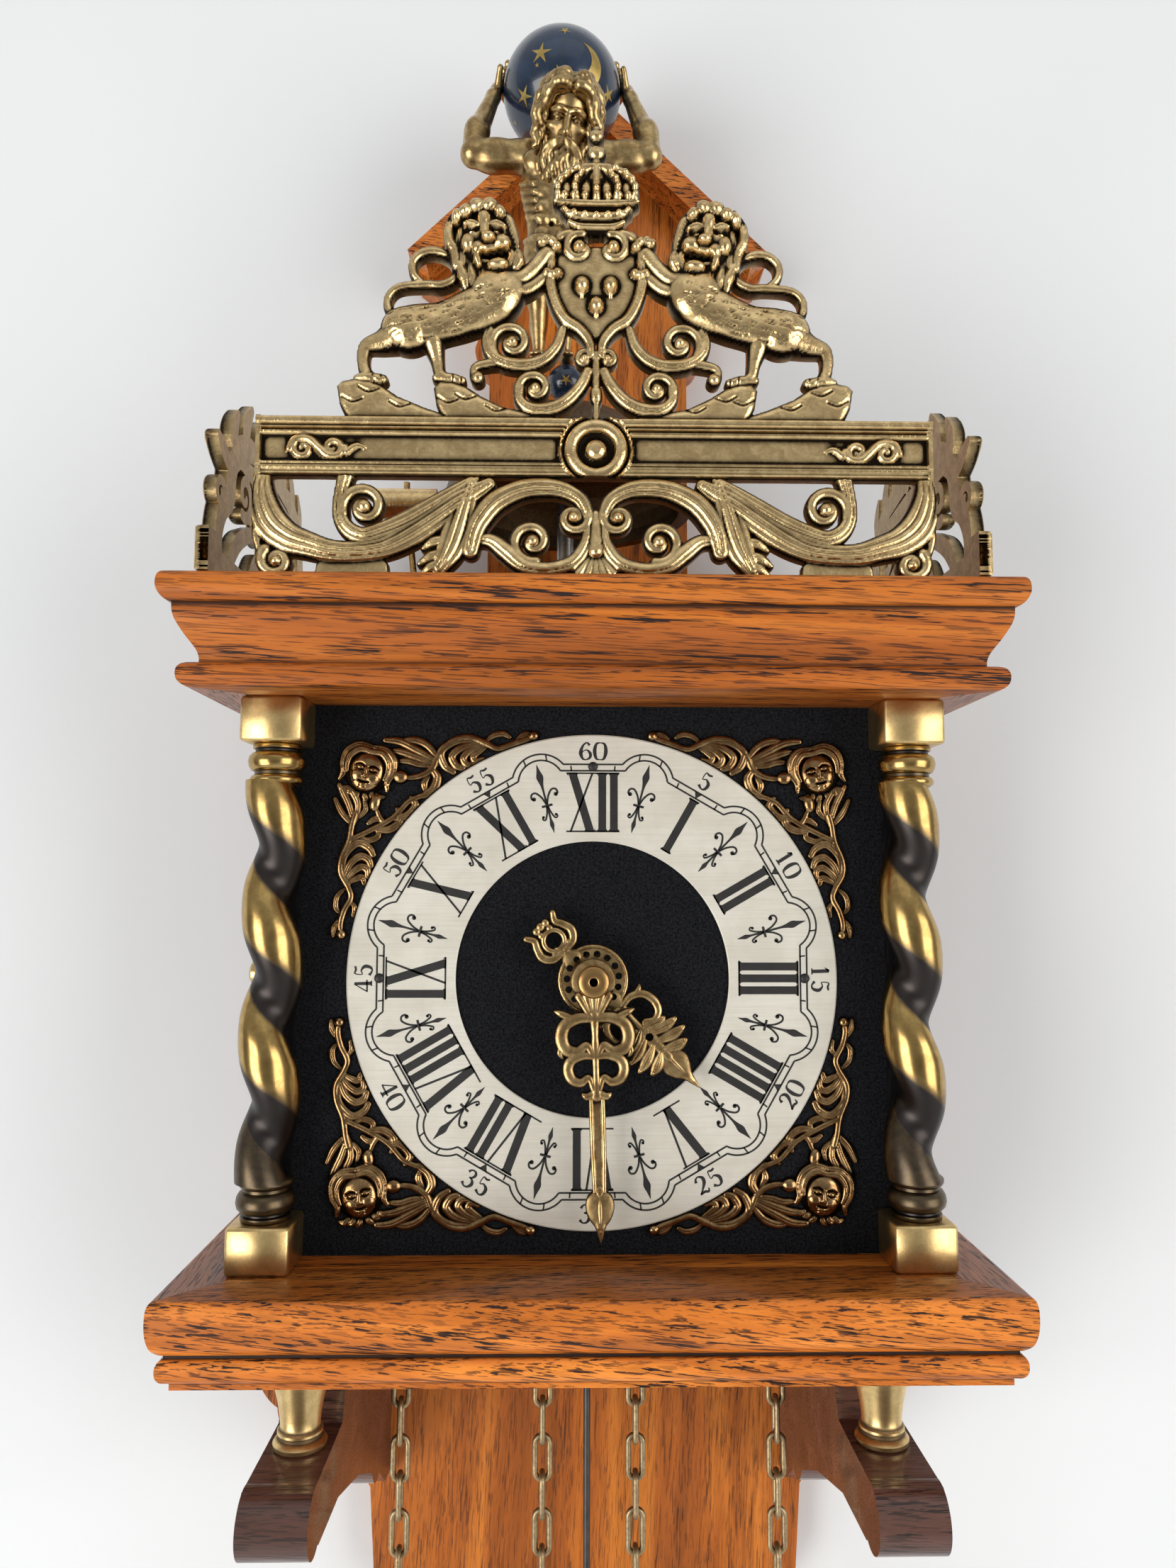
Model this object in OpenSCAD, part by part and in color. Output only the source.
// Wall clock of the Zaan type: oak case on a gabled back board, brass columns, frets, figure and bell.
// Frame: +Z up, the wall is the plane Y = 0, the viewer stands at -Y, and the hand axis is at X = 0, Z = 0.
// All lengths are in millimetres.

/* [Case] */
// Width over the base slab
base_w = 237; // [225:1:260]
// Depth from the wall to the front edge of the base
case_d = 152; // [148:1:170]
// Thickness of the base
base_t = 24.4; // [22:0.2:30]
// Clear height from the base to the cornice
case_h = 166; // [163:1:190]
// Height of the cornice
cornice_h = 32; // [28:1:40]
// How far the cornice stands out past the base
cornice_over = 3.8; // [1:0.2:6]
// Height of the hand axis above the base
axis_h = 82; // [80:0.5:90]
// Width of the base frame's rails
rail_w = 25; // [25:1:34]
// Thickness of the base panel
panel_t = 16; // [10:1:20]
// Width of the cornice mouldings
moulding_w = 40; // [38:1:44]
// Thickness of the cornice's top board
top_board_t = 10; // [6:1:14]
// Width of a front stile
stile_w = 10; // [8:1:12]
// Depth of a front stile
stile_d = 12; // [10:1:14]

/* [Back board] */
// Thickness of the back board
board_t = 15; // [12:1:18]
// Width of the neck between cornice and gable
neck_w = 82; // [60:1:110]
// Width over the eaves of the gable
eave_w = 149; // [120:1:170]
// Height of the eaves above the cornice
eave_h = 172; // [160:1:190]
// Height of the apex above the cornice
apex_h = 245; // [235:1:260]
// Width over the lower ears
ear_w = 252; // [240:1:270]
// Length of the board below the base
tail_h = 162; // [150:1:180]
// Width of the tail
tail_w = 164; // [150:1:180]
// Depth of a gable roof strip
roof_d = 16; // [10:1:20]
// Thickness of a gable roof strip
roof_t = 12; // [8:1:14]
// Radius of the hanging hole
hang_r = 4; // [3:0.5:6]
// Depth of the hanging hole below the apex
hang_drop = 60; // [50:1:70]

/* [Corbels and cups] */
// Distance of the corbels from the centre line
corbel_x = 84; // [80:1:90]
// Thickness of a corbel
corbel_t = 19; // [16:1:24]
// Distance of a corbel's nose behind the base's front edge
corbel_nose = -3; // [-5:1:14]
// Height of a cup
cup_h = 25.6; // [22:0.4:36]
// Radius of a cup's rim
cup_r = 9.5; // [8:0.5:13]
// Distance of the cups behind the base's front edge
cup_back = 28; // [24:1:46]

/* [Side doors] */
// Thickness of a door frame
door_t = 7; // [6:0.5:8]
// Width of a door frame's rails
door_rail = 15; // [13:1:20]
// Thickness of the glass
glass_t = 2; // [1.5:0.5:3]
// Radius of the pivot pins
door_pin_r = 2; // [1.5:0.25:2.5]
// Length of the pivot pins
door_pin_h = 6; // [4:1:8]

/* [Columns] */
// Side of the square column blocks
block_w = 18.2; // [16:0.2:20]
// Height of the column blocks
block_h = 13.6; // [11:0.2:16]
// Distance of the columns from the centre line
col_x = 95.3; // [94:0.1:98]
// Distance of the blocks behind the base's front edge
col_back = 17.5; // [16:0.5:17.5]
// Radius of the twisted shaft
twist_r = 7.2; // [5:0.2:8]
// Distance of the twisted shaft from its own axis
twist_off = 2.3; // [1:0.1:3]
// Turns of the twist
twist_turns = 3.07; // [1.5:0.01:4]
// Direction of the twist's crest at its foot
twist_start = 226; // [0:1:359]
// Height of a column's turned collar
collar_h = 12; // [8:1:16]

/* [Dial and hands] */
// Outer radius of the chapter ring
ring_r = 75; // [70:0.5:77]
// Inner radius of the chapter ring
ring_in = 41.8; // [36:0.2:50]
// Thickness of the chapter ring
ring_t = 1; // [0.8:0.1:1.5]
// Thickness of the dial board
dial_t = 6; // [4:0.5:8]
// Thickness of the corner spandrels
spandrel_t = 2.4; // [1.5:0.1:3]
// Radius of the dial board's centre hole
dial_hole_r = 7; // [6.5:0.25:8]
// Length of the minute hand
minute_len = 75; // [66:0.5:77]
// Length of the hour hand
hour_len = 45; // [40:0.5:52]
// Thickness of a hand
hand_t = 1.6; // [1:0.1:2]
// Minutes after the hour that the hands show
shown_minute = 29.7; // [0:0.1:59.9]
// Hour that the hands show
shown_hour = 4; // [0:1:11]

/* [Frets] */
// Width of the front fret
fret_w = 195; // [185:1:205]
// Thickness of a fret
fret_t = 4; // [3:0.5:5]
// Distance of the front fret behind the base's front edge
fret_back = 5; // [3:0.5:8]
// Distance of the side frets from the centre line
side_fret_x = 112; // [108:0.5:113]
// Length of a side fret
side_fret_len = 122; // [100:1:128]

/* [Bell and figure] */
// Distance of the bell post from the centre line
bell_x = -9; // [-12:0.5:0]
// Distance of the bell post from the wall
bell_y = 72; // [68:1:76]
// Radius of the bell's mouth
bell_r = 45; // [40:0.5:46]
// Height of the bell
bell_h = 38; // [32:1:42]
// Wall of the bell
bell_t = 2.5; // [2:0.25:4]
// Height of the bell's mouth above the cornice
bell_lift = 45; // [40:1:52]
// Radius of the bell post
post_r = 3; // [2.5:0.25:4]
// Radius of the ball under the figure
foot_ball_r = 6.8; // [6:0.2:8]
// Height of the figure from its feet to its hair
figure_h = 109; // [100:1:115]
// Radius of the globe
globe_r = 22.6; // [20:0.2:24]
// Length of the hammer head
hammer_len = 22; // [18:1:26]
// Radius of the hammer head
hammer_r = 5.5; // [4:0.5:7]

/* [Movement] */
// Width of the movement plates
plate_w = 136; // [132:1:144]
// Distance of the hand axis from the top of the plates
plate_up = 64; // [62:1:68]
// Distance of the hand axis from the bottom of the plates
plate_down = 60; // [59:1:62]
// Thickness of a plate
plate_t = 2; // [1.5:0.25:3]
// Distance from the wall to the front of the front plate
plate_front = 100; // [99:0.5:101]
// Room between the plates
plate_room = 46; // [46:0.5:48]
// Radius of the pillars
pillar_r = 3; // [2.5:0.25:3.5]
// Thickness of a toothed wheel
wheel_t = 1.6; // [1.2:0.1:2]
// Radial running clearance of a pivot
run = 0.05; // [0.02:0.01:0.1]
// Width of the oak blocks under the movement
seat_w = 12; // [10:1:14]

/* [Chains, weights and pendulum] */
// Radius at which a chain hangs from its sprocket
chain_r = 23.4; // [23:0.1:24]
// Distance of the sprockets from the centre line
sprocket_x = 38.8; // [38.4:0.1:39.2]
// Distance of the chains from the wall
chain_y = 75; // [74:0.5:76]
// Diameter of the chain wire
wire_d = 1.9; // [1.5:0.1:2.2]
// Width of a chain link
link_w = 6.7; // [6:0.1:7]
// Length from link to link
link_pitch = 11.7; // [10:0.1:13]
// Links on a weight's side of a chain
weight_links = 21; // [20:1:24]
// Links on the free side of a chain
free_links = 24; // [21:1:26]
// Height of the chains' upper ends below the hand axis
chain_drop = 12; // [10:1:16]
// Radius of the chain holes in the base
chain_hole_r = 6; // [5:0.25:7]
// Radius of a weight
weight_r = 24; // [18:0.5:26]
// Height of a weight
weight_h = 96; // [70:1:110]
// Length of the pendulum from its pin to the centre of the bob
pendulum_len = 351; // [330:1:370]
// Height of the pendulum's pin above the hand axis
pendulum_up = 55; // [55:0.1:56]
// Distance of the pendulum from the wall
pendulum_y = 38; // [36:0.5:40]
// Radius of the pendulum rod
rod_r = 1.25; // [1:0.05:1.5]
// Radius of the bob
bob_r = 30; // [24:1:34]
// Half of the pendulum's swing in degrees
swing = 4; // [3:0.5:4]

/* [Hidden] */
$fn = 48;

oak = "#b5672f";
dark_oak = "#5a3a2a";
antique_brass = "#8f7642";
bright_brass = "#c09a4a";
steel = "#707478";

// Clearances: running gap between moving pieces, and the cut-through margin of holes
gap = 0.3;
cut = 1;

// Heights and depths that several pieces share
base_top = -axis_h;
base_bottom = base_top - base_t;
cornice_bottom = base_top + case_h;
cornice_top = cornice_bottom + cornice_h;
cornice_w = base_w + 2 * cornice_over;
cornice_d = case_d + cornice_over;
block_back = case_d - col_back - block_w;
dial_y = block_back - 0.2;
door_out = col_x + block_w / 2 - 4.4;
stile_in = door_out - stile_w;
door_front = dial_y - stile_d - gap;
door_axis_y = board_t + 8;
door_back = door_axis_y - 5;
corbel_top = base_bottom - cup_h;
plate_back = plate_front - 2 * plate_t - plate_room;
in_front = plate_front - plate_t - gap;
in_back = plate_back + plate_t + gap;
figure_z = cornice_top + bell_lift + bell_h + 4 + 2 * foot_ball_r - 0.6;

// Layout of the arbors, as [x, z], seen from the front
centre_at = [0, 0];
great_drop = 20;
time_great_at = [sprocket_x, -great_drop];
strike_great_at = [-sprocket_x, -great_drop];
great_teeth = 72;
second_teeth = 48;
centre_teeth = 80;
third_teeth = 80;
escape_teeth = 30;
great_leaves = 12;
fine_leaves = 8;
great_mod = 0.8;
centre_mod = 0.5;
third_mod = 0.4;
pin_mod = 0.7;
second_reach = great_mod * (great_teeth + great_leaves) / 2;
centre_reach = great_mod * (second_teeth + great_leaves) / 2;
second_at = meet(centre_at, time_great_at, centre_reach, second_reach);
third_reach = centre_mod * (centre_teeth + fine_leaves) / 2;
third_x = -8;
third_at = [third_x, sqrt(third_reach * third_reach - third_x * third_x)];
escape_reach = third_mod * (third_teeth + fine_leaves) / 2;
escape_at = [0, third_at[1] + sqrt(escape_reach * escape_reach - third_x * third_x)];
escape_r = 13;
pin_at = [-sprocket_x, second_reach - great_drop];
fly_reach = pin_mod * (second_teeth + fine_leaves) / 2;
fly_turn = 60;
fly_at = pin_at + fly_reach * [cos(fly_turn), sin(fly_turn)];
anchor_at = [0, pendulum_up];
hammer_at = [-52, 44];
minute_reach = 20;
minute_at = [0, -minute_reach];
cannon_leaves = 12;
minute_teeth = 36;
minute_leaves = 10;
hour_teeth = 40;
minute_mod = 2 * minute_reach / (cannon_leaves + minute_teeth);
hour_mod = 2 * minute_reach / (minute_leaves + hour_teeth);

// Distances of the wheels from the wall
great_y = 88;
second_y = 66;
centre_y = 92;
third_y = 61;
escape_y = 56;
motion_y = 102.5;
hour_y = 106;

// Radii of the arbors and of the pipes on the hand axis
great_arbor_r = 3;
arbor_r = 1.5;
pivot_r = 1;
great_pivot_r = 2;
centre_r = 2.5;
cannon_r = 3.7;
hour_pipe_r = 5.2;

// Distances of the hands from the wall
hour_hand_y = dial_y + 6;
minute_hand_y = hour_hand_y + 4.4;
nut_front = minute_hand_y + 5;
minute_turn = 6 * shown_minute;
hour_turn = 30 * shown_hour + shown_minute / 2;

// Apex of the triangle on a and b with sides ra and rb, above the line from a to b
function meet(a, b, ra, rb) =
    let (d = norm(b - a), u = (b - a) / d, along = (ra * ra - rb * rb + d * d) / (2 * d))
    a + along * u + sqrt(ra * ra - along * along) * [-u[1], u[0]];

// Smooth line through points [x, z, width], with n steps between neighbours
function smooth(p, n = 2) = concat(
    [for (i = [0:len(p) - 2]) for (j = [0:n - 1])
        let (t = j / n, a = p[max(i - 1, 0)], b = p[i], c = p[i + 1], d = p[min(i + 2, len(p) - 1)])
        0.5 * (2 * b + (c - a) * t + (2 * a - 5 * b + 4 * c - d) * t * t + (3 * b - a - 3 * c + d) * t * t * t)],
    [p[len(p) - 1]]);

// Spiral of points [x, z, width] round a centre, from angle a0 to a1
function spiral(c, r0, r1, a0, a1, w0, w1, n = 11) =
    [for (i = [0:n]) let (t = i / n, a = a0 + (a1 - a0) * t, r = r0 + (r1 - r0) * t)
        [c[0] + r * cos(a), c[1] + r * sin(a), w0 + (w1 - w0) * t]];

// A band of changing width along points [x, z, width]
module band(p) {
    for (i = [0:len(p) - 2]) {
        a = [p[i][0], p[i][1]];
        b = [p[i + 1][0], p[i + 1][1]];
        u = (b - a) / norm(b - a);
        v = [-u[1], u[0]];
        polygon([a + v * p[i][2] / 2, b + v * p[i + 1][2] / 2, b - v * p[i + 1][2] / 2, a - v * p[i][2] / 2]);
        translate(a) circle(d = p[i][2], $fn = 6);
    }
    end = p[len(p) - 1];
    translate([end[0], end[1]]) circle(d = end[2], $fn = 6);
}

module vine(p) { band(smooth(p)); }

module disc(at, r) { translate(at) circle(r = r, $fn = 16); }

// Stands a drawing in x and z up, with its back at y from the wall and its thickness towards the viewer
module upright(y, t) { translate([0, -y, 0]) rotate([90, 0, 0]) linear_extrude(t) children(); }

// A cylinder along Y at [x, z], from back to front, both counted from the wall
module rod_y(at, r, back, front) {
    translate([at[0], -back, at[1]]) rotate([90, 0, 0]) cylinder(r = r, h = front - back);
}

module both_sides() {
    children();
    mirror([1, 0, 0]) children();
}

// Joins shapes of a drawing into one clean outline
module joined() { offset(delta = 0.02) children(); }

// Base and cornice mouldings: profiles as [out, up], out counted from the nominal edge

module base_profile() {
    nose = 11;
    bead = 2.1;
    difference() {
        union() {
            translate([-rail_w, -14.5]) square([rail_w, 14.5]);
            translate([-rail_w, -base_t]) square([rail_w - 5, 12]);
            translate([-5.4, -18.4]) scale([1.6, 1]) circle(r = bead);
            translate([-rail_w, -base_t]) square([rail_w - 3.6, base_t - 21.2]);
        }
        difference() {
            translate([-5, -14.5 - cut]) square([5 + cut, nose + cut]);
            translate([-nose, -14.5 + nose]) circle(r = nose);
        }
    }
}

module cornice_profile() {
    h = cornice_h;
    difference() {
        union() {
            translate([-moulding_w, 0]) square([moulding_w - 7, h]);
            translate([-moulding_w, h - 8.6]) square([moulding_w - 1.4, 8.6]);
            translate([-4.2, h - 4.4]) circle(r = 4.2);
            translate([-9, 4]) circle(r = 4.4);
            translate([-8, 8]) square([6.6, h - 17]);
        }
        translate([4.6, 9.4]) circle(r = 11.6);
        translate([-moulding_w, -cut]) square([moulding_w + 5, cut]);
        translate([-moulding_w, h]) square([moulding_w + 5, cut]);
    }
}

// A front strip of half width w and plan width p, mitred at both ends, with the profile towards -Y
module front_strip(w, d, p, z) {
    reach = p + cut;
    intersection() {
        translate([-w - cut, -d, z]) rotate([90, 0, 90]) mirror([1, 0, 0]) linear_extrude(2 * w + 2 * cut) children();
        translate([0, 0, z - 100])
            linear_extrude(200)
                polygon([[-w - cut, -d - cut], [w + cut, -d - cut], [w - reach, -d + reach], [-w + reach, -d + reach]]);
    }
}

// The right-hand side strip that meets it, running back to the board
module side_strip(w, d, p, z) {
    reach = p + cut;
    intersection() {
        translate([w, -board_t, z]) rotate([90, 0, 0]) linear_extrude(d - board_t + cut) children();
        translate([0, 0, z - 100])
            linear_extrude(200)
                polygon([[w + cut, -d - cut], [w + cut, 0], [w - reach, 0], [w - reach, -d + reach]]);
    }
}

module base_front_rail() {
    color(oak) front_strip(base_w / 2, case_d, rail_w, base_top) base_profile();
}

module base_side_rails() {
    color(oak) difference() {
        both_sides() side_strip(base_w / 2, case_d, rail_w, base_top) base_profile();
        both_sides() door_pin_hole(base_top);
    }
}

module door_pin_hole(z) {
    depth = door_pin_h + 2 * gap;
    translate([door_out - door_t / 2, -door_axis_y, z - depth]) cylinder(r = door_pin_r + run, h = 2 * depth);
}

module base_panel() {
    w = base_w - 2 * rail_w;
    front = case_d - rail_w;
    slot_w = 2 * tan(swing) * (pendulum_up + axis_h + base_t) + 4 * rod_r + 4;
    color(oak) difference() {
        translate([-w / 2, -front, base_top - panel_t]) cube([w, front - board_t, panel_t]);
        for (s = [-1, 1], side = [-1, 1])
            translate([s * sprocket_x + side * chain_r, -chain_y, base_top - panel_t - cut])
                cylinder(r = chain_hole_r, h = panel_t + 2 * cut);
        translate([-slot_w / 2, -pendulum_y - 6, base_top - panel_t - cut]) cube([slot_w, 12, panel_t + 2 * cut]);
    }
}

module cornice_front() {
    color(oak) front_strip(cornice_w / 2, cornice_d, moulding_w, cornice_bottom) cornice_profile();
}

module cornice_sides() {
    color(oak) difference() {
        both_sides() side_strip(cornice_w / 2, cornice_d, moulding_w, cornice_bottom) cornice_profile();
        both_sides() door_pin_hole(cornice_bottom);
    }
}

module cornice_top_board() {
    w = cornice_w - 2 * moulding_w;
    front = cornice_d - moulding_w;
    slot = [24, 10];
    color(oak) difference() {
        translate([-w / 2, -front, cornice_top - top_board_t]) cube([w, front - board_t, top_board_t]);
        translate([hammer_at[0] - 2 - slot[0], -hammer_y - slot[1] / 2, cornice_top - top_board_t - cut])
            cube([slot[0], slot[1], top_board_t + 2 * cut]);
        translate([bell_x, -bell_y, cornice_top - top_board_t - cut]) cylinder(r = post_r, h = top_board_t + 2 * cut);
    }
}

module front_stiles() {
    color(oak) both_sides()
        translate([stile_in, -dial_y, base_top]) cube([stile_w, stile_d, case_h]);
}

// Back board with gable, neck, ears and tail

module board_half() {
    eave = [eave_w / 2, cornice_top + eave_h];
    apex = [0, cornice_top + apex_h];
    neck = neck_w / 2;
    lobe_z = eave[1] - 38;
    case_half = stile_in - 4;
    ear_z = base_bottom - 50;
    tail_z = base_bottom - tail_h;
    polygon([[0, apex[1]], eave, eave - [3, 7], [neck + 14, lobe_z + 19], [neck, lobe_z + 6], [neck, cornice_bottom],
             [case_half, cornice_bottom], [case_half, base_bottom + cut], [ear_w / 2 - 14, base_bottom - 12],
             [ear_w / 2 - 6, base_bottom - 30], [tail_w / 2, base_bottom - 94], [tail_w / 2 - 2, base_bottom - 126],
             [tail_w / 2 - 14, base_bottom - 140], [24, base_bottom - 148], [0, tail_z + 6]]);
    polygon([[0, 0], [0, base_bottom], [case_half, base_bottom]]);
    translate([neck - 3, lobe_z]) circle(r = 9);
    translate([ear_w / 2 - 18, ear_z]) circle(r = 18);
    translate([ear_w / 2 - 24, ear_z - 14]) circle(r = 16);
    translate([0, tail_z + 20]) circle(r = 20);
}

module back_board() {
    color(oak) difference() {
        upright(0, board_t) joined() {
            board_half();
            mirror([1, 0]) board_half();
        }
        rod_y([0, cornice_top + apex_h - hang_drop], hang_r, -cut, board_t + cut);
    }
}

module gable_mouldings() {
    eave = [eave_w / 2, cornice_top + eave_h];
    apex = [0, cornice_top + apex_h];
    run_len = norm(apex - eave);
    slope = atan2(apex[1] - eave[1], eave[0]);
    color(oak) both_sides()
        intersection() {
            translate([eave[0], -board_t, eave[1]]) rotate([0, slope, 0]) translate([-run_len - roof_t, 0, -roof_t])
                union() {
                    translate([0, -roof_d, 0]) cube([run_len + roof_t, roof_d, roof_t * 0.55]);
                    translate([0, -roof_d * 0.62, 0]) cube([run_len + roof_t, roof_d * 0.62, roof_t]);
                }
            translate([0, -board_t - roof_d, 0]) cube([eave_w, roof_d, apex[1] + cut]);
        }
}

// Corbels and cups

module corbel_outline() {
    nose = case_d - corbel_nose;
    top = corbel_top;
    difference() {
        joined() {
            polygon([[nose - 6, top], [nose - 44, top], [nose - 47, top + 8], [nose - 52, base_bottom - 6],
                     [nose - 60, base_bottom], [board_t, base_bottom], [board_t, top - 62], [board_t + 12, top - 60],
                     [board_t + 26, top - 50], [nose - 74, top - 30], [nose - 40, top - 19], [nose - 14, top - 17.5]]);
            translate([nose - 9, top - 8.7]) circle(r = 8.9);
            translate([board_t + 30, top - 38]) circle(r = 12);
        }
        translate([nose - 36, top + 10]) circle(r = 10);
        translate([board_t + 26, top - 8]) circle(r = 11);
        translate([board_t + 46, top - 2]) circle(r = 7);
        translate([case_d - cup_back - cup_r, top]) square([2 * cup_r, 12]);
        translate([board_t - 50, top - 200]) square([50, 400]);
    }
}

module corbels() {
    color(dark_oak) both_sides()
        translate([corbel_x + corbel_t / 2, 0, 0]) rotate([90, 0, -90]) linear_extrude(corbel_t) corbel_outline();
}

module corbel_cups() {
    foot = cup_r * 0.76;
    color(bright_brass) both_sides()
        translate([corbel_x, -(case_d - cup_back), corbel_top]) rotate_extrude()
            polygon(concat([[0, 0], [foot, 0], [foot + 0.6, 1.5], [foot, 3.4], [foot - 1.4, 4.4], [foot - 1.4, 6]],
                           [for (i = [0:8]) let (t = i / 8)
                               [foot - 1.6 + (cup_r - foot + 1.2) * (1 - cos(90 * t)), 6 + (cup_h - 9) * t]],
                           [[cup_r, cup_h - 2.6], [cup_r, cup_h], [0, cup_h]]));
}

// Side doors: a glazed frame on pivot pins, with a turned knob

module door_frame_outline() {
    y0 = -door_front;
    y1 = -door_back;
    z0 = base_top + gap;
    z1 = cornice_bottom - gap;
    difference() {
        polygon([[y0, z0], [y1, z0], [y1, z1], [y0, z1]]);
        polygon([[y0 + door_rail, z0 + door_rail], [y1 - door_rail, z0 + door_rail], [y1 - door_rail, z1 - door_rail],
                 [y0 + door_rail, z1 - door_rail]]);
    }
}

// The right-hand door
module door() {
    rebate = 3;
    knob_y = door_front - door_rail / 2;
    difference() {
        translate([door_out - door_t, 0, 0]) rotate([90, 0, 90]) linear_extrude(door_t) door_frame_outline();
        door_pane(rebate, glass_t);
    }
    for (z = [base_top + gap - door_pin_h, cornice_bottom - gap])
        translate([door_out - door_t / 2, -door_axis_y, z]) cylinder(r = door_pin_r, h = door_pin_h);
    translate([door_out, -knob_y, 0]) rotate([0, 90, 0]) rotate_extrude()
        polygon([[0, -1], [1.6, -1], [1.6, 3], [2.6, 4], [4, 5.5], [4.4, 7], [3.8, 8.6], [2.2, 9.4], [0, 9.6]]);
}

// The pane, larger than the opening by the rebate on each side
module door_pane(rebate, t) {
    y0 = -door_front + door_rail - rebate;
    y1 = -door_back - door_rail + rebate;
    z0 = base_top + gap + door_rail - rebate;
    z1 = cornice_bottom - gap - door_rail + rebate;
    translate([door_out - door_t, y0, z0]) cube([t, y1 - y0, z1 - z0]);
}

module side_door_right() { color(oak) door(); }

module side_door_left() { color(oak) mirror([1, 0, 0]) door(); }

module door_glass_right() { color("#dfe8ea", 0.35) door_pane(3 - gap / 3, glass_t); }

module door_glass_left() { color("#dfe8ea", 0.35) mirror([1, 0, 0]) door_pane(3 - gap / 3, glass_t); }

// Columns: square blocks, turned collars and a twisted shaft

module block(z) {
    edge = 1.2;
    y = case_d - col_back;
    translate([col_x, -y + block_w / 2, z]) hull() {
        translate([-block_w / 2, -block_w / 2, edge]) cube([block_w, block_w, block_h - 2 * edge]);
        translate([-block_w / 2 + edge, -block_w / 2 + edge, 0])
            cube([block_w - 2 * edge, block_w - 2 * edge, block_h]);
    }
}

module column_blocks() {
    color(bright_brass) both_sides() {
        block(base_top);
        block(cornice_bottom - block_h);
    }
}

module collar() {
    r = twist_r;
    rotate_extrude()
        polygon([[0, 0], [r - 0.6, 0], [r - 0.6, 1.2], [r + 1.4, 2.2], [r + 2, 4], [r + 1.4, 5.8], [r - 0.2, 6.8],
                 [r - 0.2, collar_h - 3], [r + 0.8, collar_h - 1.5], [r, collar_h], [0, collar_h]]);
}

module column_shafts() {
    bottom = base_top + block_h;
    top = cornice_bottom - block_h;
    twist_h = top - bottom - 2 * collar_h;
    y = -(case_d - col_back - block_w / 2);
    color(antique_brass) for (s = [-1, 1]) translate([s * col_x, y, 0]) {
        translate([0, 0, bottom]) collar();
        translate([0, 0, bottom + collar_h]) linear_extrude(twist_h, twist = 360 * twist_turns, slices = 40)
            rotate(twist_start) translate([twist_off, 0]) circle(r = twist_r, $fn = 14);
        translate([0, 0, top]) mirror([0, 0, 1]) collar();
    }
}

// Dial

module dial_board() {
    color("#14161a") difference() {
        translate([-stile_in, -dial_y, base_top]) cube([2 * stile_in, dial_t, case_h]);
        rod_y(centre_at, dial_hole_r, dial_y - dial_t - cut, dial_y + cut);
        for (a = [0:90:270]) rod_y(ring_pin_at(a), ring_pin_r, dial_y - dial_t - cut, dial_y + cut);
    }
}

ring_pin_r = 0.9;
ring_pin_track = 65.4;
function ring_pin_at(a) = ring_pin_track * [cos(a), sin(a)];

module chapter_ring() {
    color("#d8d2c4") difference() {
        rod_y(centre_at, ring_r, dial_y, dial_y + ring_t);
        rod_y(centre_at, ring_in, dial_y - cut, dial_y + ring_t + cut);
        for (a = [0:90:270]) rod_y(ring_pin_at(a), ring_pin_r, dial_y - cut, dial_y + ring_t + cut);
    }
}

module dial_pins() {
    color("#2a2622") for (a = [0:90:270]) {
        rod_y(ring_pin_at(a), ring_pin_r, dial_y - 4, dial_y + ring_t);
        translate([ring_pin_at(a)[0], -dial_y - ring_t, ring_pin_at(a)[1]]) rotate([90, 0, 0])
            cylinder(r1 = 1.4, r2 = 0.8, h = 0.7);
    }
}

// One corner spandrel for the upper right: a head in the corner, with a leafy stem along each edge
module spandrel_outline() {
    disc([60, 62.5], 2.2);
    vine([[64, 73, 2], [58, 71.5, 4], [51, 70.5, 2.4], [46.5, 71, 2]]);
    vine([[62, 63, 2.6], [54, 63, 2.4], [50, 67, 2.6], [46, 72.5, 2.8], [40, 75, 3.2], [33, 73.5, 2.8],
          [28, 71.5, 2.6], [22, 74, 2.8], [18.3, 75.6, 2.2]]);
    for (lobe = [[45, 72, 43.8, 65.5], [41.5, 74, 40.5, 67], [38, 74, 37.5, 68.5], [36, 73, 35, 70]])
        vine([[lobe[0], lobe[1], 2], [lobe[2], lobe[3], 3.2]]);
    vine([[50, 66.5, 2.2], [49.5, 61, 3.6], [49, 58, 1.4]]);
    vine([[57, 62.5, 2.2], [54.5, 57, 3.4], [58.5, 53.5, 2.8], [60, 49.5, 3.2], [65, 46.5, 2.6], [72, 44.5, 2.6],
          [75.6, 41, 2.6]]);
    vine([[68.5, 58, 3], [66.5, 53, 2.4], [67, 47, 2]]);
    vine([[78, 56, 2], [76, 52, 4], [75.5, 48, 2.6], [76, 44, 2.6], [78, 37, 2.8], [77.5, 31, 3.2], [74.5, 25, 3],
          [75, 19, 2.6], [76.5, 13.5, 2.4]]);
    for (lobe = [[76, 41, 70, 39.5], [76.5, 37.5, 69.5, 36], [76.5, 34.5, 70, 32.5], [75.5, 31.5, 71, 30]])
        vine([[lobe[0], lobe[1], 2], [lobe[2], lobe[3], 3.2]]);
    disc([69.5, 64.5], 8.7);
}

module spandrels() {
    spread = ring_r - 75;
    color(antique_brass) for (sx = [0, 1], sz = [0, 1]) mirror([sx, 0, 0]) mirror([0, 0, sz]) {
        difference() {
            upright(dial_y, spandrel_t) translate([spread, spread]) joined() spandrel_outline();
            rod_y(centre_at, ring_r + gap, dial_y - cut, dial_y + spandrel_t + cut);
        }
    }
}

// Hands, drawn pointing up from their own axis

module loop_ring(at, rx, rz, w) {
    translate(at) difference() {
        scale([rx, rz]) circle(r = 1, $fn = 24);
        scale([rx - w, rz - w]) circle(r = 1, $fn = 20);
    }
}

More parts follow.
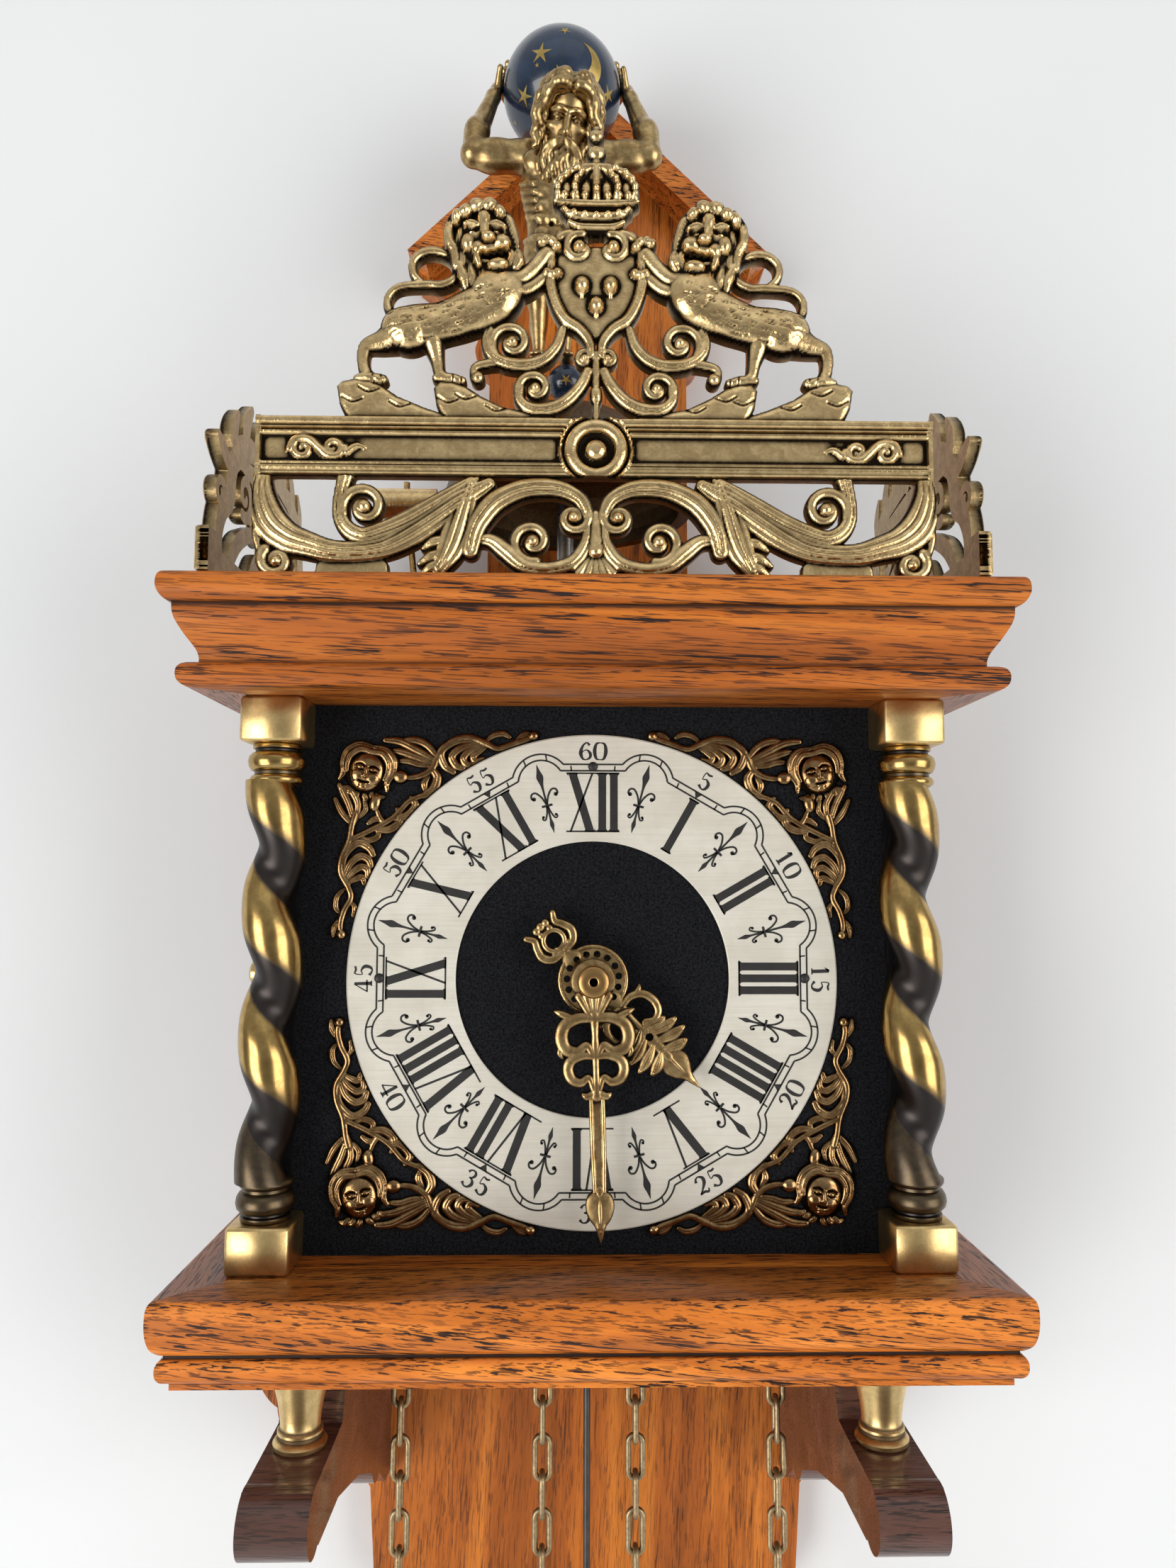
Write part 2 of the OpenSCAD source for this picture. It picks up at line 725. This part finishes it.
module minute_outline() {
    tip = minute_len;
    neck = tip - 13;
    for (s = [-1, 1]) {
        loop_ring([s * 5.6, 15.6], 5.8, 6.8, 2.4);
        vine([[s * 5, 10, 2], [s * 8.6, 9.6, 2.2], [s * 10.8, 8.2, 1]]);
        loop_ring([s * 4.9, 25.4], 5.2, 5.2, 2.3);
        disc([s * 2.8, 33.4], 1.5);
    }
    vine([[0, 5, 6], [0, 9, 4], [0, 16, 2.6], [0, 31, 3], [0, 34, 4.6], [0, neck, 4]]);
    polygon([[-1.2, neck - 2], [1.2, neck - 2], [3.9, neck + 3], [2.6, neck + 6], [0, tip], [-2.6, neck + 6],
             [-3.9, neck + 3]]);
}

module hour_outline() {
    tip = hour_len;
    for (s = [-1, 1]) {
        loop_ring([s * 5.4, 17.4], 5.2, 5.6, 2.2);
        for (leaf = [[6.6, 24.5], [6.8, 28], [5.4, 31.4]])
            vine([[s * 1, leaf[1] - 2, 2.2], [s * leaf[0], leaf[1], 3]]);
        vine([[s * 2, -11, 3], [s * 4.6, -16, 2.6], [s * 4.4, -20.5, 2.6]]);
        disc([s * 5.6, -22], 1.7);
        disc([s * 2, -23.2], 1.7);
    }
    vine([[0, 9, 6], [0, 13, 3], [0, 22, 3], [0, 30, 4]]);
    vine([[-4, -20.5, 2.4], [0, -21.4, 2.4], [4, -20.5, 2.4]]);
    polygon([[-1.4, tip - 17], [1.4, tip - 17], [4.6, tip - 12], [3, tip - 7], [0, tip], [-3, tip - 7],
             [-4.6, tip - 12]]);
}

module minute_hand() {
    collet_r = 6.4;
    color(antique_brass) rotate([0, minute_turn, 0]) difference() {
        union() {
            upright(minute_hand_y, hand_t) joined() minute_outline();
            rod_y(centre_at, collet_r, minute_hand_y - 0.4, minute_hand_y + hand_t + 0.8);
        }
        rod_y(centre_at, cannon_r, minute_hand_y - cut, minute_hand_y + hand_t + cut);
    }
}

module hour_hand() {
    disc_r = 10.7;
    color(antique_brass) rotate([0, hour_turn, 0]) difference() {
        union() {
            upright(hour_hand_y, hand_t) joined() hour_outline();
            rod_y(centre_at, disc_r, hour_hand_y, hour_hand_y + hand_t);
        }
        rod_y(centre_at, hour_pipe_r, hour_hand_y - cut, hour_hand_y + hand_t + cut);
        for (i = [0:15])
            rod_y(8.8 * [cos(i * 22.5), sin(i * 22.5)], 0.85, hour_hand_y - cut, hour_hand_y + hand_t + cut);
    }
}

module hand_nut() {
    color(bright_brass) translate([0, -minute_hand_y - hand_t - 0.8, 0]) rotate([90, 0, 0]) rotate_extrude()
        polygon([[centre_r + run, 0], [4.8, 0], [4.8, 1.2], [3.9, 2], [1.2, 2.6], [1, 2], [centre_r + run, 2]]);
}

// Front fret: lions and shield over a bar, on a scrolled frieze; the right half in x and height

module frieze_half() {
    end = fret_w / 2;
    vine([[end - 2.6, 29, 4], [end - 4, 21, 8], [end - 11, 12.5, 7], [end - 21, 9, 6.5], [64, 10.5, 8],
          [54, 15, 8], [44, 22, 7], [36, 27, 4], [30, 29, 2]]);
    vine([[70, 30, 6], [68.6, 26, 4]]);
    band(spiral([69.5, 18.5], 6, 1, -110, 430, 4, 3));
    vine([[66, 12.5, 5], [58, 14.5, 5], [50, 19, 5], [42, 24.5, 4]]);
    vine([[78, 6, 5], [86, 9, 4], [92, 9.6, 4]]);
    band(spiral([end - 4.2, 5], 4.5, 1, 100, -330, 3.6, 3));
    translate([60.5, 0]) square([22, 6]);
    vine([[49, 1.2, 2.4], [44, 5, 8], [39.5, 13, 8.5], [34, 21, 7], [26, 27, 5], [16, 28.4, 5], [8, 25.5, 5],
          [3.6, 20, 5], [3.8, 14.5, 4.4]]);
    band(spiral([8.4, 16.6], 4.6, 1, 205, 610, 3.4, 2.6));
    vine([[35, 9, 4], [29, 8.5, 4], [25, 3.8, 5], [18, 2.2, 4.4], [10, 3, 5], [4, 7.5, 5], [1.6, 13, 4.6]]);
    band(spiral([19, 9.4], 5.8, 1, -100, 400, 4, 3));
    for (a = [0:20:40]) vine([[0, 9, 2], [8 * sin(a), 9 - 7.6 * cos(a), 3.2]]);
    translate([0, 29]) square([end, 17.3]);
}

module lion_half() {
    polygon([[42, 45], [66, 45], [71, 51], [70, 54.5], [66, 57.5], [60, 56], [52, 51.5], [44, 48.5]]);
    polygon([[12, 45], [38, 45], [43, 55], [41, 58.5], [34, 56.5], [28, 52], [20, 49.8], [12, 49.8]]);
    vine([[66, 56, 5], [66, 63, 4.4], [65, 68, 6], [60, 70.5, 8], [54, 75, 11]]);
    vine([[55, 74, 13], [48, 75.5, 13], [40, 77.5, 13], [32, 80.5, 15], [27, 85, 14]]);
    vine([[46, 70, 7], [44, 63, 4.2], [42.5, 58, 5], [37, 57.5, 3]]);
    vine([[56, 76, 3], [59, 80, 3], [57, 85.5, 3], [51, 87, 3], [45.5, 86, 3]]);
    loop_ring([44.6, 91], 6, 6, 3);
    disc([34, 103], 10.6);
    disc([31, 93], 9.4);
    vine([[25, 88, 8], [18, 93, 5.5], [12.5, 94.5, 6.5]]);
    vine([[24, 83, 7], [18, 86, 5], [14, 90, 4]]);
    disc([4.6, 98.4], 4.8);
    vine([[14, 93, 4], [14, 86, 4], [12, 79, 4.6], [8, 74, 4.6], [3.6, 70, 4], [2, 66, 4]]);
    band(spiral([4.6, 64.6], 2.8, 1, 170, 480, 3, 2));
    polygon([[0, 99], [12, 99], [13, 84], [7, 74.5], [0, 71]]);
    vine([[10, 74, 3.6], [12, 67, 4], [17, 63, 4.6], [24, 63, 4.6], [28.6, 67, 4]]);
    band(spiral([24, 69], 5.2, 1, -20, 400, 4, 3));
    vine([[26, 73.6, 3.6], [27, 76, 4]]);
    vine([[22, 61.6, 3], [31, 62, 3], [34.6, 59, 4]]);
    vine([[1, 62, 4], [3, 55, 4.2], [8, 50.6, 4.6], [14, 49, 4.4], [20, 51.5, 4]]);
    band(spiral([16.6, 55.4], 4.6, 1, -40, 400, 3.6, 3));
    translate([0, 44]) square([1.5, 22]);
    polygon([[0, 97], [6, 97], [10.5, 104], [10.5, 109], [13, 113.5], [9, 112.5], [7.6, 120.5], [3.4, 117], [0, 123]]);
    disc([0, 126.5], 3.2);
    disc([0, 132], 2.6);
    disc([0, 135.6], 1.7);
}

module front_fret() {
    color(antique_brass) translate([0, 0, cornice_top])
        difference() {
            union() {
                upright(case_d - fret_back - fret_t / 2, fret_t) joined() {
                    frieze_half();
                    mirror([1, 0]) frieze_half();
                    lion_half();
                    mirror([1, 0]) lion_half();
                }
                rod_y([0, 37.6], 8.6, case_d - fret_back, case_d - fret_back + fret_t / 2 + 1.4);
            }
            translate([-fret_w, -case_d, -cut]) cube([2 * fret_w, 20, cut]);
        }
}

// Side fret: a stepped, lobed plate with small piercings; length and height
module side_fret_outline() {
    half = side_fret_len / 2;
    difference() {
        union() for (m = [0, 1]) translate([m * side_fret_len, 0]) mirror([m, 0]) joined() {
            translate([0, 0.02]) square([half, 9]);
            translate([0, 0.02]) square([9, 13]);
            polygon([[8, 8], [8, 20], [15, 30], [18, 42], [30, 52], [half, 58], [half, 8]]);
            disc([10, 25], 5);
            vine([[18, 36, 8], [11, 40, 5], [6.5, 42, 4]]);
            disc([24, 49], 7);
            disc([38, 56], 7.5);
            disc([half, 58], 10);
        }
        for (m = [0, 1]) translate([m * side_fret_len, 0]) mirror([m, 0]) {
            disc([16, 18], 3);
            disc([28, 38], 3.4);
            disc([44, 44], 3.4);
            vine([[24, 14, 5], [36, 22, 6], [50, 18, 5]]);
        }
    }
}

module side_frets() {
    front = case_d - fret_back + 7;
    color(antique_brass) both_sides()
        translate([side_fret_x - fret_t / 2, -front, cornice_top]) rotate([90, 0, 90]) linear_extrude(fret_t)
            side_fret_outline();
}

// Bell, post, figure and hammer

module bell_at() { translate([bell_x, -bell_y, cornice_top]) children(); }

module bell() {
    function dome(r, h) = [for (i = [0:12]) let (a = 90 * i / 12) [r * cos(a), h * sin(a)]];
    lip = 2;
    outer = [for (p = dome(bell_r - lip, bell_h)) if (p[0] > post_r + 0.1 && p[1] > 7) p];
    inner = [for (p = dome(bell_r - lip - bell_t, bell_h - bell_t)) if (p[0] > post_r + 0.1) p];
    color("#4a4038") bell_at() translate([0, 0, bell_lift]) rotate_extrude()
        polygon(concat([[bell_r - bell_t, 0], [bell_r, 0], [bell_r - lip, 5]], outer, [[post_r, bell_h]],
                       [[post_r, bell_h - bell_t]], [for (i = [len(inner) - 1:-1:0]) inner[i]]));
}

module bell_post() {
    seat = bell_lift + bell_h - bell_t;
    color(steel) bell_at() rotate_extrude()
        polygon([[0, -top_board_t], [post_r, -top_board_t], [post_r, 0], [9, 0], [9, 2], [4.4, 3.4], [post_r, 6],
                 [post_r, seat - 5.4], [6, seat - 4.6], [6, seat - 0.6], [post_r, seat - 0.2], [post_r, seat + bell_t],
                 [5.4, seat + bell_t], [5.4, seat + bell_t + 3], [3, seat + bell_t + 4],
                 [0, seat + bell_t + 4]]);
}

module foot_ball() {
    color("#1d3a5c") bell_at() intersection() {
        translate([0, 0, bell_lift + bell_h + 4 + foot_ball_r - 0.3]) sphere(r = foot_ball_r);
        translate([-20, -20, bell_lift + bell_h + 4]) cube([40, 40, 2 * foot_ball_r - 0.6]);
    }
}

// Share s of the figure's height as a height above its feet
function up(s) = s * figure_h;

module limb(a, ra, b, rb) {
    hull() {
        translate(a) sphere(r = ra, $fn = 12);
        translate(b) sphere(r = rb, $fn = 12);
    }
}

module atlas_figure() {
    hip = 6;
    hand = [globe_r - 1, 1, up(0.965)];
    color(antique_brass) translate([bell_x - 2, -bell_y, figure_z]) {
        difference() {
            union() {
                both_sides() {
                    limb([hip - 2.5, -2, 2], 3.2, [hip - 1.6, 0, up(0.24)], 5);
                    limb([hip - 1.6, 0, up(0.24)], 5, [hip, 0, up(0.47)], 7.4);
                    limb([hip - 2.5, -2, 1.6], 3, [hip - 2, -6, 1.6], 2.2);
                    limb([12, 0, up(0.77)], 7, [31, 1, up(0.75)], 4.6);
                    limb([31, 1, up(0.75)], 4.6, hand, 4);
                    limb([4, 0, up(0.54)], 9, [8.5, 0, up(0.7)], 10.5);
                }
                limb([0, 0, up(0.47)], 11.5, [0, 0, up(0.6)], 10.5);
                limb([0, -2, up(0.8)], 6.5, [0, -6, up(0.88)], 9);
                translate([0, -6, up(0.915)]) scale([1, 1, 1.06]) sphere(r = 8.6, $fn = 16);
            }
            translate([0, globe_back, up(1.05)]) sphere(r = globe_r + 0.1, $fn = 40);
            translate([-30, -30, -20]) cube([60, 60, 20]);
        }
    }
}

globe_back = 12;

module atlas_globe() {
    color("#1b3658") translate([bell_x - 2, -bell_y + globe_back, figure_z + up(1.05)])
        sphere(r = globe_r, $fn = 64);
}

hammer_top_x = bell_x - bell_r - 1 - hammer_len / 2;
hammer_y = chain_y - 3;

module hammer() {
    z = cornice_top + bell_lift + 3;
    top = [hammer_top_x, z];
    lean = atan2(top[0] - hammer_at[0], top[1] - hammer_at[1]);
    reach = norm(top - hammer_at);
    wire_r = 1.2;
    color(antique_brass) {
        rod_y(hammer_at, arbor_r, in_back, in_front);
        rod_y(hammer_at, pivot_r, plate_back, plate_front);
        translate([hammer_at[0], -hammer_y, hammer_at[1]]) rotate([0, lean, 0]) cylinder(r = wire_r, h = reach);
        rod_y(hammer_at, 3, hammer_y - 2, hammer_y + 2);
        translate([top[0] - hammer_len / 2, -hammer_y, top[1]]) rotate([0, 90, 0]) cylinder(r = hammer_r, h = hammer_len);
        translate([top[0], -hammer_y, top[1]]) cylinder(r = wire_r, h = hammer_r + 2.4);
        translate([hammer_at[0], -second_y - 3.6, hammer_at[1]]) rotate([0, 156, 0]) translate([-1, 0, 0.5])
            cube([2, 2.4, 17]);
    }
}

// Movement plates and what holds them

pillar_top = [62, 58];
pillar_low = [54, -54];
pillar_places = [pillar_top, [-pillar_top[0], pillar_top[1]], pillar_low, [-pillar_low[0], pillar_low[1]]];

module plate(back, pivots) {
    difference() {
        translate([-plate_w / 2, -back - plate_t, -plate_down]) cube([plate_w, plate_t, plate_up + plate_down]);
        for (p = pivots) rod_y(p[0], p[1] + run, back - cut, back + plate_t + cut);
    }
}

common_pivots = [[time_great_at, great_pivot_r], [strike_great_at, great_pivot_r], [second_at, pivot_r],
                 [third_at, pivot_r], [escape_at, pivot_r], [pin_at, pivot_r], [fly_at, pivot_r],
                 [hammer_at, pivot_r], [anchor_at, pivot_r]];

module front_plate() {
    color(bright_brass) {
        plate(plate_front - plate_t, concat(common_pivots, [[centre_at, centre_r]]));
        rod_y(minute_at, arbor_r, plate_front, hour_y + 2.4);
    }
}

module back_plate() {
    color(bright_brass) plate(plate_back, concat(common_pivots, [[centre_at, pivot_r]]));
}

module plate_pillars() {
    color(bright_brass) for (p = pillar_places) rod_y(p, pillar_r, plate_back + plate_t, plate_front - plate_t);
}

module movement_blocks() {
    color(oak) both_sides()
        translate([sprocket_x - seat_w / 2, -plate_front - 2, base_top])
            cube([seat_w, plate_front - plate_back + 4, axis_h - plate_down]);
}

// Toothed wheels: straight-sided teeth with free play, one tooth centred on angle a

module teeth(n, m, a) {
    tip_r = m * n / 2 + 0.7 * m;
    root_r = m * n / 2 - 1.05 * m;
    rotate(a) polygon([for (i = [0:n - 1], k = [[-0.31, root_r], [-0.1, tip_r], [0.1, tip_r], [0.31, root_r]])
        let (at = 360 * (i + k[0]) / n) k[1] * [cos(at), sin(at)]]);
}

// Direction from arbor a to arbor b
function towards(a, b) = atan2(b[1] - a[1], b[0] - a[0]);

// A crossed wheel with a tooth facing angle a
module wheel(at, n, m, a, y, hub_r) {
    pitch_r = m * n / 2;
    rim = pitch_r - 3.4 * m - 1.4;
    difference() {
        upright(y - wheel_t / 2, wheel_t) translate(at) teeth(n, m, a);
        if (rim - hub_r > 5)
            for (i = [0:4])
                rod_y(at + (rim + hub_r) / 2 * [cos(a + 36 + 72 * i), sin(a + 36 + 72 * i)], (rim - hub_r) / 2 - 0.8,
                      y - wheel_t, y + wheel_t);
    }
    rod_y(at, hub_r, y - wheel_t, y + wheel_t);
}

// A pinion with a gap facing angle a
module pinion(at, n, m, a, y, t) { upright(y - t / 2, t) translate(at) teeth(n, m, a + 180 / n); }

module arbor(at, r, pivot) {
    rod_y(at, r, in_back, in_front);
    rod_y(at, pivot, plate_back, plate_front);
}

module time_great_wheel() {
    color(bright_brass) {
        arbor(time_great_at, great_arbor_r, great_pivot_r);
        wheel(time_great_at, great_teeth, great_mod, towards(time_great_at, second_at), great_y, 6);
    }
}

module time_second_wheel() {
    color(bright_brass) {
        arbor(second_at, arbor_r, pivot_r);
        pinion(second_at, great_leaves, great_mod, towards(second_at, time_great_at), great_y, 4);
        wheel(second_at, second_teeth, great_mod, towards(second_at, centre_at), second_y, 4);
    }
}

module centre_wheel() {
    color(bright_brass) {
        rod_y(centre_at, centre_r, in_back, nut_front - 1);
        rod_y(centre_at, pivot_r, plate_back, in_front);
        pinion(centre_at, great_leaves, great_mod, towards(centre_at, second_at), second_y, 4);
        wheel(centre_at, centre_teeth, centre_mod, towards(centre_at, third_at), centre_y, 4.5);
    }
}

module third_wheel() {
    color(bright_brass) {
        arbor(third_at, pivot_r + 0.2, pivot_r);
        pinion(third_at, fine_leaves, centre_mod, towards(third_at, centre_at), centre_y, 3);
        wheel(third_at, third_teeth, third_mod, towards(third_at, escape_at), third_y, 3.4);
    }
}

module escape_wheel() {
    color(bright_brass) {
        arbor(escape_at, pivot_r + 0.1, pivot_r);
        pinion(escape_at, fine_leaves, third_mod, towards(escape_at, third_at), third_y, 3);
        upright(escape_y - wheel_t / 2, wheel_t) translate(escape_at) difference() {
            polygon([for (i = [0:escape_teeth - 1], k = [[0, escape_r - 2.6], [0.34, escape_r], [0.42, escape_r],
                                                         [0.5, escape_r - 2.6]])
                let (at = 360 * (i + k[0]) / escape_teeth) k[1] * [cos(at), sin(at)]]);
            for (i = [0:3]) disc(6.4 * [cos(90 * i + 45), sin(90 * i + 45)], 2.6);
        }
    }
}

// Anchor: two pallets just clear of the escape wheel's tips, with the crutch behind the back plate
module anchor() {
    reach = escape_r + 1.4;
    drop = anchor_at[1] - escape_at[1];
    spread = 45;
    arm_t = 3;
    color(steel) {
        arbor(anchor_at, pivot_r + 0.5, pivot_r);
        upright(escape_y - 1.5, arm_t) joined() {
            translate(anchor_at) circle(r = 3);
            for (s = [-1, 1])
                vine([[0, anchor_at[1], 4], [s * 7, anchor_at[1] - 1.5, 3.4], [s * 12.5, anchor_at[1] - 5.5, 3],
                      [s * (reach + 1.6) * sin(spread + 8), escape_at[1] + (reach + 1.6) * cos(spread + 8), 2.4]]);
        }
        rod_y(anchor_at, pivot_r, plate_back - 5, plate_back + 1);
        translate([-1, -plate_back + 3, anchor_at[1] - 27]) cube([2, 1.6, 28]);
        for (s = [-1, 1])
            translate([s * (rod_r + gap) - (s < 0 ? 1.4 : 0), -plate_back + 3, anchor_at[1] - 29])
                cube([1.4, plate_back - 3 - pendulum_y + rod_r + 3, 3]);
        translate([-rod_r - gap - 1.4, -plate_back + 3, anchor_at[1] - 29]) cube([2 * (rod_r + gap + 1.4), 1.6, 3]);
    }
}

module pendulum_bridge() {
    foot_z = anchor_at[1] + 5;
    reach = plate_back - pendulum_y + 5;
    color(bright_brass) {
        translate([-14, -plate_back, foot_z]) cube([28, 2, 4 + plate_t]);
        translate([-5, -plate_back, foot_z]) cube([10, reach, 4]);
        translate([-5, -pendulum_y + 3, anchor_at[1] - 3]) cube([10, 2, foot_z - anchor_at[1] + 4]);
        rod_y(anchor_at, pivot_r, pendulum_y - 4, pendulum_y + 3);
    }
}

// Pendulum: rod with an eye on the bridge's pin, and a lens-shaped bob

module pendulum_rod() {
    eye_r = 3;
    eye_t = 2;
    color(steel) {
        difference() {
            rod_y(anchor_at, eye_r, pendulum_y - eye_t / 2, pendulum_y + eye_t / 2);
            rod_y(anchor_at, pivot_r + run, pendulum_y - eye_t, pendulum_y + eye_t);
        }
        translate([0, -pendulum_y, anchor_at[1] - pendulum_len - bob_r - 12])
            cylinder(r = rod_r, h = pendulum_len + bob_r + 12 - eye_r + 0.6);
        translate([0, -pendulum_y, anchor_at[1] - pendulum_len - bob_r - 9]) cylinder(r = 4, h = 4);
    }
}

module pendulum_bob() {
    bob_t = 14;
    color(bright_brass) difference() {
        translate([0, -pendulum_y, anchor_at[1] - pendulum_len]) rotate([90, 37, 0]) rotate_extrude($fn = 120)
            polygon(concat([[0, -bob_t / 2]], [for (i = [0:5]) let (a = -60 + 24 * i)
                [bob_r - bob_t / 2 + bob_t / 2 * cos(a), bob_t / 2 * sin(a)]], [[0, bob_t / 2]]));
        translate([0, -pendulum_y, anchor_at[1] - pendulum_len - bob_r - cut])
            rotate([0, 0, 23]) cylinder(r = rod_r + 0.02, h = 2 * bob_r + 2 * cut);
    }
}

// Motion work between the front plate and the dial

module cannon_pinion() {
    color(bright_brass) difference() {
        union() {
            pinion(centre_at, cannon_leaves, minute_mod, towards(centre_at, minute_at), motion_y, 2.6);
            rod_y(centre_at, cannon_r, motion_y - 1.3, minute_hand_y + hand_t + 0.8);
        }
        rod_y(centre_at, centre_r + run, motion_y - 3, nut_front + cut);
    }
}

module minute_wheel() {
    color(bright_brass) difference() {
        union() {
            wheel(minute_at, minute_teeth, minute_mod, towards(minute_at, centre_at), motion_y, 4);
            pinion(minute_at, minute_leaves, hour_mod, towards(minute_at, centre_at), hour_y, 2.4);
            rod_y(minute_at, 2.6, motion_y, hour_y);
        }
        rod_y(minute_at, arbor_r + run, motion_y - 4, hour_y + 4);
    }
}

module hour_wheel() {
    color(bright_brass) difference() {
        union() {
            wheel(centre_at, hour_teeth, hour_mod, towards(centre_at, minute_at), hour_y, 7);
            rod_y(centre_at, hour_pipe_r, hour_y, hour_hand_y + hand_t);
        }
        rod_y(centre_at, cannon_r + run, hour_y - 4, hour_hand_y + hand_t + cut);
    }
}

// Chain sprockets turn on the great arbors, with a pocket for every other link

module sprocket(at) {
    r = chain_r - link_w / 2 - gap;
    half = 4;
    pockets = 6;
    difference() {
        translate([at[0], -chain_y, at[1]]) rotate([90, 0, 0]) rotate_extrude()
            polygon([[great_arbor_r + run, -half], [r - 3, -half], [r - 3, -2.4], [r, -1.4], [r, 1.4], [r - 3, 2.4],
                     [r - 3, half], [great_arbor_r + run, half]]);
        for (i = [0:pockets - 1])
            rod_y(at + (r + 0.6) * [cos(60 * i + 30), sin(60 * i + 30)], 3, chain_y - half - cut, chain_y + half + cut);
        for (i = [0:4])
            rod_y(at + 9.6 * [cos(72 * i), sin(72 * i)], 3.6, chain_y - half - cut, chain_y + half + cut);
    }
}

module time_sprocket() { color(bright_brass) sprocket(time_great_at); }

module strike_sprocket() { color(bright_brass) sprocket(strike_great_at); }

// Striking train

module strike_great_wheel() {
    color(bright_brass) {
        arbor(strike_great_at, great_arbor_r, great_pivot_r);
        wheel(strike_great_at, great_teeth, great_mod, towards(strike_great_at, pin_at), great_y, 6);
    }
}

module strike_pin_wheel() {
    pins = 8;
    pin_track = 12.4;
    color(bright_brass) {
        arbor(pin_at, arbor_r, pivot_r);
        pinion(pin_at, great_leaves, great_mod, towards(pin_at, strike_great_at), great_y, 4);
        wheel(pin_at, second_teeth, pin_mod, towards(pin_at, fly_at), second_y, 4);
        for (i = [0:pins - 1])
            rod_y(pin_at + pin_track * [cos(360 * i / pins), sin(360 * i / pins)], 0.8, second_y, second_y + 4);
    }
}

module strike_fly() {
    vane = [18, 18];
    color(bright_brass) {
        arbor(fly_at, arbor_r, pivot_r);
        pinion(fly_at, fine_leaves, pin_mod, towards(fly_at, pin_at), second_y, 3);
        translate([fly_at[0] - vane[0] / 2, -chain_y - vane[1] - 2, fly_at[1] - 0.5]) cube([vane[0], vane[1], 1]);
    }
}

// Chains: oval links, each turned a quarter from the next, hanging at [x, top]

module link() {
    inner = link_pitch + 0.2;
    half = link_w / 2 - wire_d / 2;
    straight = inner + wire_d - 2 * half;
    for (s = [-1, 1]) {
        translate([s * half, 0, -straight / 2]) cylinder(d = wire_d, h = straight, $fn = 16);
        translate([0, 0, s * straight / 2]) rotate([90, 0, 0]) rotate([0, 0, s > 0 ? 0 : 180])
            rotate_extrude(angle = 180) translate([half, 0]) circle(d = wire_d, $fn = 16);
    }
}

module chain(x, n) {
    for (i = [0:n - 1])
        translate([x, -chain_y, -chain_drop - link_pitch / 2 - wire_d - i * link_pitch])
            rotate([0, 0, i % 2 == 0 ? 0 : 90]) link();
}

// Height of the inside of the last of n links
function chain_end(n) = -chain_drop - n * link_pitch - wire_d + 0.1;

module chain_ring(x) {
    r = 9;
    z = chain_end(free_links) + wire_d / 2 + 0.3 - r + wire_d / 2;
    translate([x, -chain_y, z]) rotate([0, 0, free_links % 2 == 0 ? 0 : 90]) rotate([90, 0, 0]) rotate_extrude()
        translate([r, 0]) circle(d = wire_d, $fn = 16);
}

// Pear-shaped weight on a ring
module weight(x) {
    eye = 4;
    eye_wire = 2.2;
    z = chain_end(weight_links) + eye_wire / 2 + 0.2;
    neck = 4;
    color(bright_brass) {
        translate([x, -chain_y, z - eye]) rotate([0, 0, weight_links % 2 == 0 ? 0 : 90]) rotate([90, 0, 0])
            rotate_extrude() translate([eye, 0]) circle(d = eye_wire, $fn = 24);
        translate([x, -chain_y, z - 2 * eye]) rotate_extrude()
            polygon(concat([[0, 0.6], [2, 0.6], [neck, -1.5], [neck, -4]],
                           [for (i = [0:14]) let (t = i / 14)
                               [neck + (weight_r - neck) * pow(sin(90 * min(1, t * 1.25)), 1.6)
                                * (t < 0.8 ? 1 : cos(75 * (t - 0.8) / 0.2) * 0.75 + 0.25), -4 - (weight_h - 12) * t]],
                           [[5, -weight_h + 5], [5, -weight_h + 2], [0, -weight_h]]));
    }
}

module time_weight() { weight(sprocket_x + chain_r); }

module time_weight_chain() { color(antique_brass) chain(sprocket_x + chain_r, weight_links); }

module time_free_chain() {
    color(antique_brass) {
        chain(sprocket_x - chain_r, free_links);
        chain_ring(sprocket_x - chain_r);
    }
}

module strike_weight() { weight(-sprocket_x - chain_r); }

module strike_weight_chain() { color(antique_brass) chain(-sprocket_x - chain_r, weight_links); }

module strike_free_chain() {
    color(antique_brass) {
        chain(-sprocket_x + chain_r, free_links);
        chain_ring(-sprocket_x + chain_r);
    }
}

back_board();
gable_mouldings();
corbels();
corbel_cups();
base_front_rail();
base_side_rails();
base_panel();
cornice_front();
cornice_sides();
cornice_top_board();
front_stiles();
dial_board();
side_door_left();
side_door_right();
door_glass_left();
door_glass_right();
column_shafts();
column_blocks();
chapter_ring();
dial_pins();
spandrels();
minute_hand();
hour_hand();
hand_nut();
front_fret();
side_frets();
atlas_figure();
atlas_globe();
foot_ball();
bell();
bell_post();
hammer();
front_plate();
back_plate();
plate_pillars();
movement_blocks();
time_sprocket();
time_great_wheel();
time_second_wheel();
centre_wheel();
third_wheel();
escape_wheel();
anchor();
pendulum_bridge();
pendulum_rod();
pendulum_bob();
cannon_pinion();
minute_wheel();
hour_wheel();
strike_sprocket();
strike_great_wheel();
strike_pin_wheel();
strike_fly();
time_weight();
time_weight_chain();
time_free_chain();
strike_weight();
strike_weight_chain();
strike_free_chain();
